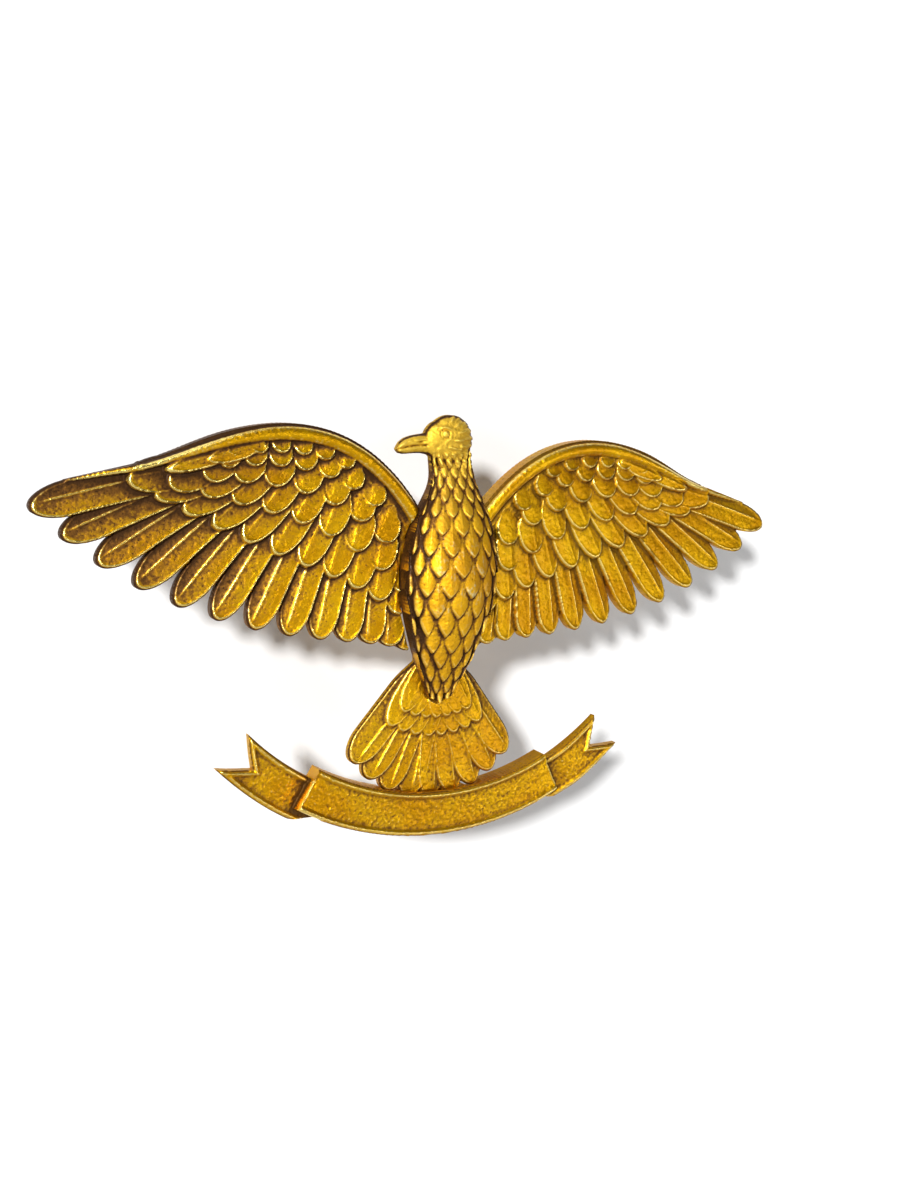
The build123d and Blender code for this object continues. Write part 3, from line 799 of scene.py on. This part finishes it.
def post(name, x):
    tenon, shoulder, undercut = POST_TENON_RADIUS, POST_SHOULDER_RADIUS, POST_UNDERCUT_RADIUS
    start, end = -FLANGE_THICK + 0.01, POST_SHOULDER
    tip = end + POST_THREAD
    plain = [(ON_AXIS, start), (tenon, start), (tenon, -0.06), (tenon - 0.08, 0.0),
             (shoulder + 0.14, 0.02), (shoulder + 0.03, 0.08), (shoulder, 0.2),
             (shoulder, end - 0.12), (shoulder - 0.12, end), (undercut, end), (undercut, end + 0.18)]
    rows = np.arange(end + 0.22, tip - 0.02, THREAD_PITCH / 9)
    profile = plain + [(POST_THREAD_RADIUS, y) for y in rows]
    profile += [(0.80, tip), (0.3, tip), (ON_AXIS, tip - 0.03)]

    def swell(k, radius, y, turns):
        if not len(plain) <= k < len(plain) + len(rows):
            return np.full(len(turns), radius)
        thread = POST_THREAD_RADIUS - thread_cut(y, turns, THREAD_DEPTH)
        cone = POST_THREAD_RADIUS - np.clip(y - (tip - POST_POINT), 0, None)
        runout = undercut + (POST_THREAD_RADIUS - undercut) * smooth(0.0, 0.3, y - end - 0.2)
        return np.minimum(np.minimum(thread, cone), runout)

    return turned(name, [lathe(profile, x, 0, 48, swell)], sharp=50)


def flange(name, x):
    bore, outer = POST_TENON_RADIUS + 0.02, FLANGE_RADIUS
    base, reach = -FLANGE_THICK, outer + SOLDER_WIDTH
    corners = [(bore, base), (bore, 0.0), (outer, 0.0), (outer, base), (bore, base)]
    ring = rounded(corners, [0, 0.04, 0.10, 0.0, 0])[:-1]
    solder = [(outer - 0.3, base - 0.005)]
    solder += [(outer - 0.05 + 0.42 * s**1.6, base + 0.24 * (1 - s) ** 1.8) for s in np.linspace(0, 1, 6)]
    solder += [(reach, base - 0.005)]

    def ragged(k, radius, y, turns):
        lap = 0.05 * np.sin(3 * turns + x) + 0.03 * np.sin(7 * turns + 2) + 0.02 * np.sin(13 * turns)
        return radius + lap * smooth(outer, reach, radius)

    return turned(name, [lathe(ring, x, 0, 96, closed=True), lathe(solder, x, 0, 96, ragged, closed=True)])


def washer(name, x):
    front, back = POST_SHOULDER, POST_SHOULDER + WASHER_THICK
    corners = [(WASHER_BORE, front + 0.3), (WASHER_BORE, front), (WASHER_RADIUS, front), (WASHER_RADIUS, back),
               (WASHER_BORE, back), (WASHER_BORE, front + 0.3)]
    profile = rounded(corners, [0, 0.06, 0.14, 0.22, 0.10, 0])[:-1]
    return turned(name, [lathe(profile, x, 0, 128, closed=True)])


def nut(name, x):
    rim, boss, bore = NUT_RADIUS, NUT_BOSS_RADIUS, NUT_BORE
    front = POST_SHOULDER + WASHER_THICK
    disc = front + NUT_THICK
    back = disc + NUT_BOSS_THICK
    low, high = front + KNURL_INSET, disc - KNURL_INSET
    below = [(rim - 0.28, front), (rim - 0.05, front + 0.2), (rim - 0.03, low - 0.02)]
    grip = [(rim, y) for y in np.linspace(low, high, 19)]
    above = [(rim - 0.03, high + 0.02), (rim - 0.05, disc - 0.2), (rim - 0.3, disc),
             (rim - 0.75, disc), (rim - 0.80, disc - 0.06), (rim - 0.95, disc - 0.06), (rim - 1.0, disc),
             (boss + 0.18, disc), (boss + 0.04, disc + 0.05), (boss, disc + 0.2),
             (boss, back - 0.16), (boss - 0.05, back - 0.05), (boss - 0.18, back),
             (bore + 0.42, back), (bore + 0.15, back - 0.12)]
    thread = [(bore, y) for y in np.arange(back - 0.2, front + 0.22, -THREAD_PITCH / 6)]
    under = [(bore + 0.15, front + 0.12), (bore + 0.3, front), (rim - 1.2, front)]
    profile = below + grip + above + thread + under
    grip_at, thread_at = len(below), len(below + grip + above)

    def swell(k, radius, y, turns):
        if grip_at <= k < grip_at + len(grip):
            lean = (y - low) * KNURL_LEAN / rim
            one, two = (np.abs(((turns + way) * KNURL_COUNT / tau) % 1 - 0.5) * 2 for way in (lean, -lean))
            return radius - KNURL_DEPTH * np.clip(1 - np.minimum(one, two) * 1.5, 0, 1)
        if thread_at <= k < thread_at + len(thread):
            return bore + thread_cut(y, turns, NUT_THREAD_DEPTH)
        return np.full(len(turns), radius)

    return turned(name, [lathe(profile, x, 0, 8 * KNURL_COUNT, swell, closed=True)], sharp=44)


def pegs(name, places, front):
    """Riveted pegs, with their heads peened on the back of the carrier plate."""
    plate = PLATE_BACK + CARRIER_THICK
    groups = []
    for number, (x, z) in enumerate(places):
        dome = [(PEG_HEAD_RADIUS * cos(a), plate + 0.12 + (PEG_HEAD_THICK - 0.12) * sin(a))
                for a in np.linspace(0, pi / 2 - 0.05, 9)]
        profile = [(ON_AXIS, front), (PEG_RADIUS - 0.1, front), (PEG_RADIUS, front + 0.1), (PEG_RADIUS, plate),
                   (PEG_HEAD_RADIUS - 0.06, plate), (PEG_HEAD_RADIUS, plate + 0.05)] + dome

        def peened(k, radius, y, turns, number=number):
            high = smooth(plate, plate + 0.2, y)
            lap = 0.035 * np.sin(3 * turns + 2 * number) + 0.025 * np.sin(5 * turns + number)
            return radius * (1 + lap * high)

        groups.append(lathe(profile, x, z, 40, peened))
    return turned(name, groups, sharp=50)


# ---- materials

class Paint:
    """A material's node tree, with the few kinds of node that the metals use."""

    def __init__(self, name):
        self.material = bpy.data.materials.new(name)
        self.material.use_nodes = True
        self.nodes, self.links = self.material.node_tree.nodes, self.material.node_tree.links
        self.shader = self.nodes["Principled BSDF"]
        self.place = self.node("TexCoord").outputs["Object"]

    def put(self, socket, value):
        """Links a socket into another, or sets its value; colours are given without alpha."""
        if isinstance(value, bpy.types.NodeSocket):
            self.links.new(value, socket)
        else:
            socket.default_value = (*value, 1) if socket.type == "RGBA" else value

    def put_all(self, sockets, values):
        for socket, value in zip(sockets, values):
            self.put(socket, value)

    def fill(self, node, **inputs):
        """Fills a node's inputs by name; underscores stand for spaces."""
        for key, value in inputs.items():
            self.put(node.inputs[key.replace("_", " ")], value)
        return node

    def node(self, kind, **inputs):
        return self.fill(self.nodes.new("ShaderNode" + kind), **inputs)

    def stored(self, key):
        node = self.node("Attribute")
        node.attribute_name = key
        return node.outputs["Fac"]

    def noise(self, size_mm, detail, roughness=0.55, stretch=None):
        place = self.place
        if stretch:
            place = self.node("Mapping", Scale=stretch, Vector=place).outputs["Vector"]
        noise = self.node("TexNoise", Scale=1000.0 / size_mm, Detail=detail, Roughness=roughness, Vector=place)
        return noise.outputs["Fac"]

    def ranged(self, value, low, high, to_low=0.0, to_high=1.0):
        node = self.node("MapRange", Value=value, From_Min=low, From_Max=high, To_Min=to_low, To_Max=to_high)
        node.interpolation_type = "SMOOTHSTEP"
        return node.outputs["Result"]

    def math(self, kind, a, b, clamp=False):
        node = self.node("Math")
        node.operation = kind
        node.use_clamp = clamp
        self.put_all(node.inputs, (a, b))
        return node.outputs[0]

    def plus(self, a, b, clamp=False):
        return self.math("ADD", a, b, clamp)

    def minus(self, a, b, clamp=False):
        return self.math("SUBTRACT", a, b, clamp)

    def times(self, a, b, clamp=False):
        return self.math("MULTIPLY", a, b, clamp)

    def about_zero(self, pattern, weight):
        """A noise that averages a half, moved to average 0 and scaled."""
        return self.times(self.minus(pattern, 0.5), weight)

    def mix(self, share, a, b):
        node = self.node("Mix")
        node.data_type = "RGBA"
        colours = [s for s in node.inputs if s.type == "RGBA"]
        self.put_all((node.inputs[0], *colours), (share, a, b))
        return next(s for s in node.outputs if s.type == "RGBA")

    def bump(self, height, depth_mm, strength, under=None):
        node = self.node("Bump", Distance=depth_mm * MM, Strength=strength, Height=height)
        if under is not None:
            self.put(node.inputs["Normal"], under)
        return node.outputs["Normal"]

    def corner(self, radius_mm):
        """Near 1 in corners, 0 on open ground."""
        node = self.node("AmbientOcclusion", Distance=radius_mm * MM)
        node.samples = 6
        node.only_local = True
        return self.minus(1.0, node.outputs["AO"])


# colours of the gilt: as laid, paled on ridges as a painted highlight, in a deeper patch, paled on the head
# as a painted highlight, worn to the metal, and patina with painted shade, at two depths
GILT = (0.80, 0.45, 0.005)
GILT_PAINTED_HIGHLIGHT = (0.97, 0.76, 0.22)
GILT_DEEP = (0.60, 0.28, 0.003)
GILT_TOP_HIGHLIGHT = (0.72, 0.55, 0.08)
WORN = (0.66, 0.57, 0.30)
PATINA_AND_SHADE = (0.185, 0.078, 0.012)
PATINA_AND_SHADE_DARK = (0.050, 0.021, 0.006)


def gilt(name, patina_and_shade=1.0, highlight_and_polish=1.0, left_end_shade=0.0, top_highlight_and_wear=0.0, rough=0.40):
    """Gilt brass: matt and granular, with a painted highlight on its ridges, and patina in its hollows that is
    deepened as painted shade.

    The left-end setting paints shade towards the piece's left end. The top setting paints the upper part, the
    bird's head, cleaner and paler as a painted highlight, and adds worn spots on its proudest points.
    """
    p = Paint(name)
    cavity, crest, pool = p.stored("cavity"), p.stored("crest"), p.stored("pool")
    cloud = p.noise(4.5, 4)
    speck = p.noise(0.35, 4, 0.7)
    fine = p.noise(0.12, 3, 0.7)
    pits = p.times(p.ranged(p.noise(0.20, 2, 0.6), 0.56, 0.70), p.ranged(crest, 0.5, -0.2))
    where = p.node("SeparateXYZ", Vector=p.place).outputs

    tone = p.mix(p.ranged(cloud, 0.35, 0.68), GILT_DEEP, GILT)
    # Painted highlight: the ridges paled towards a light gilt.
    tone = p.mix(p.times(p.ranged(crest, 0.35, 1.2), 0.60 * highlight_and_polish, clamp=True), tone, GILT_PAINTED_HIGHLIGHT)

    # Patina collected in hollows and on low ground such as feather roots, deepened there as painted shade.
    darkening = p.plus(p.times(cavity, 0.75), p.times(pool, 0.55))
    for pattern, weight in ((speck, 0.75), (cloud, 0.9), (fine, 0.5)):
        darkening = p.plus(darkening, p.about_zero(pattern, weight))
    darkening = p.plus(darkening, p.times(pits, 0.42))
    # Painted shade: darker towards the piece's left end.
    if left_end_shade:
        darkening = p.plus(darkening, p.ranged(where["X"], -8 * MM, -26 * MM, 0.0, left_end_shade))
    # Painted highlight: the upper part, the bird's head, cleaner and paler; worn spots on its proudest points.
    if top_highlight_and_wear:
        darkening = p.minus(darkening, p.ranged(where["Z"], 5.0 * MM, 8.5 * MM, 0.0, top_highlight_and_wear))
        tone = p.mix(p.ranged(where["Z"], 0.0, 8.0 * MM, 0.12, 0.54), tone, GILT_TOP_HIGHLIGHT)
        high = p.ranged(where["Y"], -4.9 * MM, -5.5 * MM)
        spots = p.times(high, p.ranged(p.noise(0.9, 3, 0.6), 0.50, 0.64))
        spots = p.times(spots, p.ranged(crest, -0.1, 0.5))
        tone = p.mix(p.times(spots, 0.75), tone, WORN)
    # The patina and its painted shade, mixed in at two depths.
    patina_and_shade_share = p.times(p.ranged(darkening, -0.22, 0.72), 0.95 * patina_and_shade, clamp=True)
    dark_patina_and_shade_share = p.times(p.ranged(darkening, 0.30, 1.10), 0.9 * max(patina_and_shade, 0.8), clamp=True)
    colour = p.mix(dark_patina_and_shade_share, p.mix(patina_and_shade_share, tone, PATINA_AND_SHADE), PATINA_AND_SHADE_DARK)

    roughness = p.plus(p.ranged(patina_and_shade_share, 0.0, 1.0, rough, 0.62), p.about_zero(fine, 0.22))
    roughness = p.minus(roughness, p.times(p.ranged(crest, 0.2, 1.2), 0.10 * highlight_and_polish), clamp=True)
    metal = p.ranged(patina_and_shade_share, 0.0, 1.0, 1.0, 0.82)
    normal = p.bump(fine, 0.020, 0.65)
    normal = p.bump(speck, 0.055, 0.80, under=normal)
    normal = p.bump(p.minus(1.0, pits), 0.020, 0.7, under=normal)
    p.fill(p.shader, Base_Color=colour, Roughness=roughness, Metallic=metal, Normal=normal,
           Specular_IOR_Level=0.25, Coat_Weight=0.04, Coat_Roughness=0.22)
    return p.material


def worked(name, colour, deep, dark, rough, lines=(1, 1, 1), darkening=0.6):
    """A plain worked metal: tool or rolling lines, tarnish clouds, and a darker colour in its corners."""
    p = Paint(name)
    cloud = p.noise(3.2, 4)
    speck = p.noise(0.5, 4, 0.7)
    grain = p.noise(0.09, 2, 0.6, stretch=lines)
    tone = p.mix(p.ranged(cloud, 0.35, 0.68), colour, deep)
    # Darker colour in the corners, from an ambient occlusion node, and in scattered spots.
    corner = p.ranged(p.corner(0.8), 0.25, 0.85)
    spots = p.ranged(speck, 0.60, 0.78)
    share = p.plus(p.times(corner, darkening), p.times(spots, 0.45 * darkening), clamp=True)
    roughness = p.plus(p.ranged(cloud, 0.3, 0.7, rough - 0.06, rough + 0.10), p.about_zero(grain, 0.25))
    roughness = p.plus(roughness, p.times(share, 0.25), clamp=True)
    normal = p.bump(grain, 0.006, 0.6)
    normal = p.bump(speck, 0.010, 0.35, under=normal)
    p.fill(p.shader, Base_Color=p.mix(share, tone, dark), Roughness=roughness, Normal=normal, Metallic=1.0)
    return p.material


# ---- the pieces

# The two wings are a lit and a shaded copy of one gilt: the right is painted lighter with less patina, the left
# darker with more, and with painted shade towards its end. The body is painted darker, its head paler as a painted
# highlight.
gilts = {name: gilt(f"gilt_{name}", **looks) for name, looks in {
    "wing_right": dict(patina_and_shade=0.50, highlight_and_polish=1.4, rough=0.44),
    "wing_left": dict(patina_and_shade=1.18, highlight_and_polish=1.6, left_end_shade=0.50),
    "tail": dict(patina_and_shade=1.0),
    "body": dict(patina_and_shade=1.50, highlight_and_polish=0.6, top_highlight_and_wear=0.62, rough=0.62),
    "scroll": dict(patina_and_shade=0.85, highlight_and_polish=1.1),
}.items()}
# each metal's colour, its deeper patches, its colour in corners, its roughness, and how its lines are stretched
sheet, turned_brass, peg_brass, flange_brass, nickel = (worked(*looks) for looks in (
    ("sheet_brass", (0.60, 0.40, 0.12), (0.42, 0.24, 0.07), (0.07, 0.035, 0.012), 0.40, (1, 1, 14)),
    ("turned_brass", (0.72, 0.50, 0.17), (0.58, 0.36, 0.10), (0.09, 0.045, 0.015), 0.27, (1, 9, 1)),
    ("peg_brass", (0.66, 0.44, 0.13), (0.48, 0.28, 0.08), (0.08, 0.04, 0.014), 0.36),
    ("flange_brass", (0.62, 0.43, 0.15), (0.50, 0.32, 0.10), (0.10, 0.07, 0.04), 0.38, (1, 6, 1)),
    ("nickel_steel", (0.60, 0.57, 0.50), (0.48, 0.44, 0.37), (0.10, 0.07, 0.045), 0.28, (1, 9, 1)),
))


def finish_piece(piece, node, material, body="badge"):
    piece.data.materials.append(material)
    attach(piece, body)
    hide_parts(node)


wing = wing_relief()
wing_hollow = hollow_back(0.72, 1.2)
for side, mirror in (("right", False), ("left", True)):
    # Patina and painted shade on the wings' side walls.
    piece = struck(f"struck_wing_{side}", wing, PLATE_BACK, hollow=wing_hollow, mirror=mirror, seam_darkening=0.4)
    finish_piece(piece, f"wing_{side}", gilts[f"wing_{side}"])

piece = struck("struck_tail_fan", tail_relief(), PLATE_BACK, hollow=hollow_back(0.75, 1.2))
finish_piece(piece, "tail_fan", gilts["tail"])

# Patina and painted shade on the body's side walls, heavier than on the wings.
piece = struck("struck_bird_body", body_relief(), BODY_BACK, hollow=hollow_back(0.9, 1.3), soften=0.028,
               grain=0.009, seam_darkening=0.85)
finish_piece(piece, "bird_body", gilts["body"])

piece = struck("struck_scroll", scroll_relief(), PLATE_BACK, hollow=scroll_back)
finish_piece(piece, "scroll", gilts["scroll"])

piece = struck("stamped_carrier_plate", carrier_relief(), PLATE_BACK, way=1, grain=0.003)
finish_piece(piece, "carrier_plate", sheet)

scroll_pegs = [on_scroll(SCROLL_RADIUS, side * SCROLL_PEG_ANGLE) for side in (-1, 1)]
for name, node, places, front in (
    ("riveted_body_pegs", "body_pegs", BODY_PEGS, BODY_BACK - BODY_PEG_DEPTH),
    ("riveted_wing_pegs", "wing_pegs", WING_PEGS, PLATE_BACK - PLATE_PEG_DEPTH),
    ("riveted_scroll_pegs", "scroll_pegs", scroll_pegs, PLATE_BACK - PLATE_PEG_DEPTH),
):
    finish_piece(pegs(name, places, front), node, peg_brass)

for side, x in (("left", -POST_SPACING / 2), ("right", POST_SPACING / 2)):
    finish_piece(flange(f"soldered_flange_{side}", x), f"post_flange_{side}", flange_brass)
    finish_piece(post(f"screwed_post_{side}", x), f"post_{side}", turned_brass)
    finish_piece(washer(f"rounded_washer_{side}", x), f"washer_{side}", nickel, f"{side}_washer")
    finish_piece(nut(f"knurled_nut_{side}", x), f"nut_{side}", turned_brass, f"{side}_nut")


# ---- stage, lights and camera

CAMERA_AZIMUTH, CAMERA_ELEVATION = -28.0, 8.0
CAMERA_DISTANCE = 110.0
CAMERA_ROLL = 3.7
CAMERA_LENS = 40.1
AIM = (0.3, -3.0, -4.3)
WALL_Y = 10.2
FLOOR_Z = -200.0


def aimed(obj, azimuth, elevation, distance):
    """Stands obj that far from AIM and turns it there; azimuth 0 is straight in front, positive to the right."""
    a, e = radians(azimuth), radians(elevation)
    aim = Vector(AIM) * MM
    obj.location = aim + Vector((sin(a) * cos(e), -cos(a) * cos(e), sin(e))) * distance * MM
    obj.rotation_euler = (aim - obj.location).to_track_quat("-Z", "Y").to_euler()


def area_light(name, azimuth, elevation, distance, size, power):
    data = bpy.data.lights.new(name, "AREA")
    data.shape = "DISK"
    data.size = size * MM
    data.energy = power
    aimed(placed(name, data), azimuth, elevation, distance)


def board(name, corners, grey, one_sided=False):
    """A matt grey board for the stage; one_sided leaves it clear from behind."""
    mesh = bpy.data.meshes.new(name)
    mesh.from_pydata([tuple(c * MM for c in corner) for corner in corners], [], [list(range(len(corners)))])
    obj = placed(name, mesh)
    p = Paint(name)
    p.fill(p.shader, Base_Color=(grey, grey, grey), Roughness=0.9, Specular_IOR_Level=0.1)
    if one_sided:
        back, clear, mixed = p.node("NewGeometry"), p.node("BsdfTransparent"), p.node("MixShader")
        p.put_all(mixed.inputs, (back.outputs["Backfacing"], p.shader.outputs[0], clear.outputs[0]))
        p.fill(p.nodes["Material Output"], Surface=mixed.outputs[0])
    mesh.materials.append(p.material)


board("floor", [(x, y, FLOOR_Z) for x, y in ((-900, -900), (900, -900), (900, 900), (-900, 900))], 0.45)
board("backdrop", [(x, WALL_Y, z) for x, z in ((-500, FLOOR_Z), (500, FLOOR_Z), (500, 400), (-500, 400))], 0.81, True)

scene = bpy.context.scene
scene.view_settings.view_transform = "Standard"
world = bpy.data.worlds.new("studio")
scene.world = world
world.use_nodes = True
sky = world.node_tree.nodes["Background"].inputs
sky["Color"].default_value = (1, 1, 1, 1)
sky["Strength"].default_value = 0.12

# azimuth and elevation in degrees, distance and width in mm, power in watts
for light in (
    ("key", -39, 17, 1000, 105, 13.6),
    ("fill", 36, -5, 500, 150, 0.52),
    ("top", -30, 60, 400, 120, 0.20),
    ("back", 200, 28, 500, 220, 1.0),
):
    area_light(*light)

data = bpy.data.cameras.new("camera")
data.sensor_fit = "VERTICAL"
data.sensor_height = 36
data.lens = CAMERA_LENS
data.clip_start, data.clip_end = 0.005, 10
camera = placed("camera", data)
aimed(camera, CAMERA_AZIMUTH, CAMERA_ELEVATION, CAMERA_DISTANCE)
camera.rotation_euler.rotate_axis("Z", radians(CAMERA_ROLL))
scene.camera = camera
